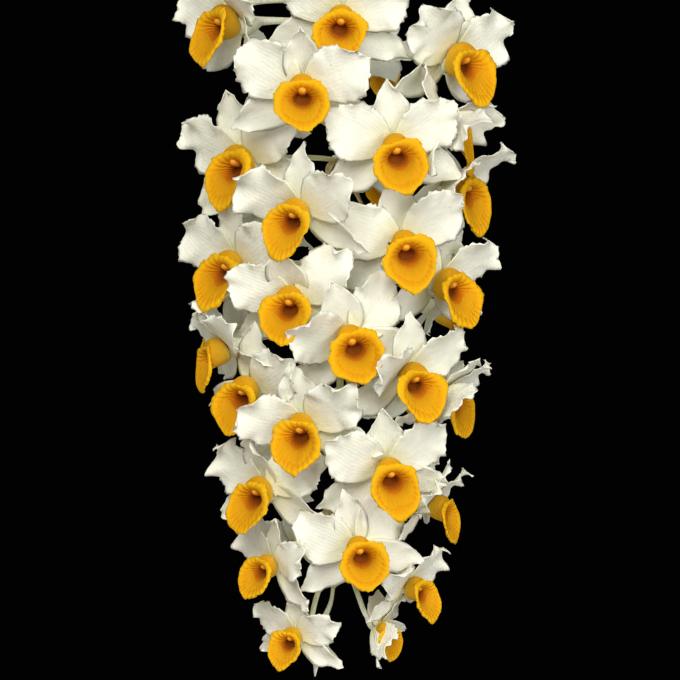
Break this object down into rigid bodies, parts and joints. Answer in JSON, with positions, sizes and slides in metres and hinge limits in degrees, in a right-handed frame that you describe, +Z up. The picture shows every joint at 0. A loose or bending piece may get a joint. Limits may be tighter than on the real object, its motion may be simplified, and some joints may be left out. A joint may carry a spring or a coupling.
{
  "type": "potted orchid",
  "caption": "Potted dendrobium orchid: leafy canes in a clay pot of bark, one arching stalk with a long hanging raceme of white blooms with golden funnel lips.",
  "frame": {"origin": "centre of the pot's flat base", "axes": "+Z up along the pot's axis, +X towards the hanging raceme, -Y towards the viewer of the picture"},
  "size_m": [0.4437, 0.3881, 0.5658],
  "materials": {
    "clay": "unglazed fired clay",
    "bark": "coarse matte bark",
    "leaf": "leathery, satin",
    "petal": "soft matte petal",
    "lip": "downy matte petal"
  },
  "bodies": {
    "root": {"pot": "clay", "potting_bark": "bark", "cane_flowering": "leaf", "cane_left": "leaf", "cane_front": "leaf", "cane_back": "leaf", "cane_young": "leaf", "cane_old": "leaf", "raceme": "petal", "lip_01": "lip", "lip_02": "lip", "lip_03": "lip", "lip_04": "lip", "lip_05": "lip", "lip_06": "lip", "lip_07": "lip", "lip_08": "lip", "lip_09": "lip", "lip_10": "lip", "lip_11": "lip", "lip_12": "lip", "lip_13": "lip", "lip_14": "lip", "lip_15": "lip", "lip_16": "lip", "lip_17": "lip", "lip_18": "lip", "lip_19": "lip", "lip_20": "lip", "lip_21": "lip", "lip_22": "lip", "lip_23": "lip", "lip_24": "lip", "lip_25": "lip", "lip_26": "lip", "lip_27": "lip", "lip_28": "lip", "lip_29": "lip", "lip_30": "lip", "lip_31": "lip", "lip_32": "lip", "lip_33": "lip", "lip_34": "lip", "lip_35": "lip", "lip_36": "lip", "lip_37": "lip", "lip_38": "lip", "lip_39": "lip", "lip_40": "lip", "lip_41": "lip", "lip_42": "lip", "lip_43": "lip", "lip_44": "lip"}
  },
  "joints": []
}
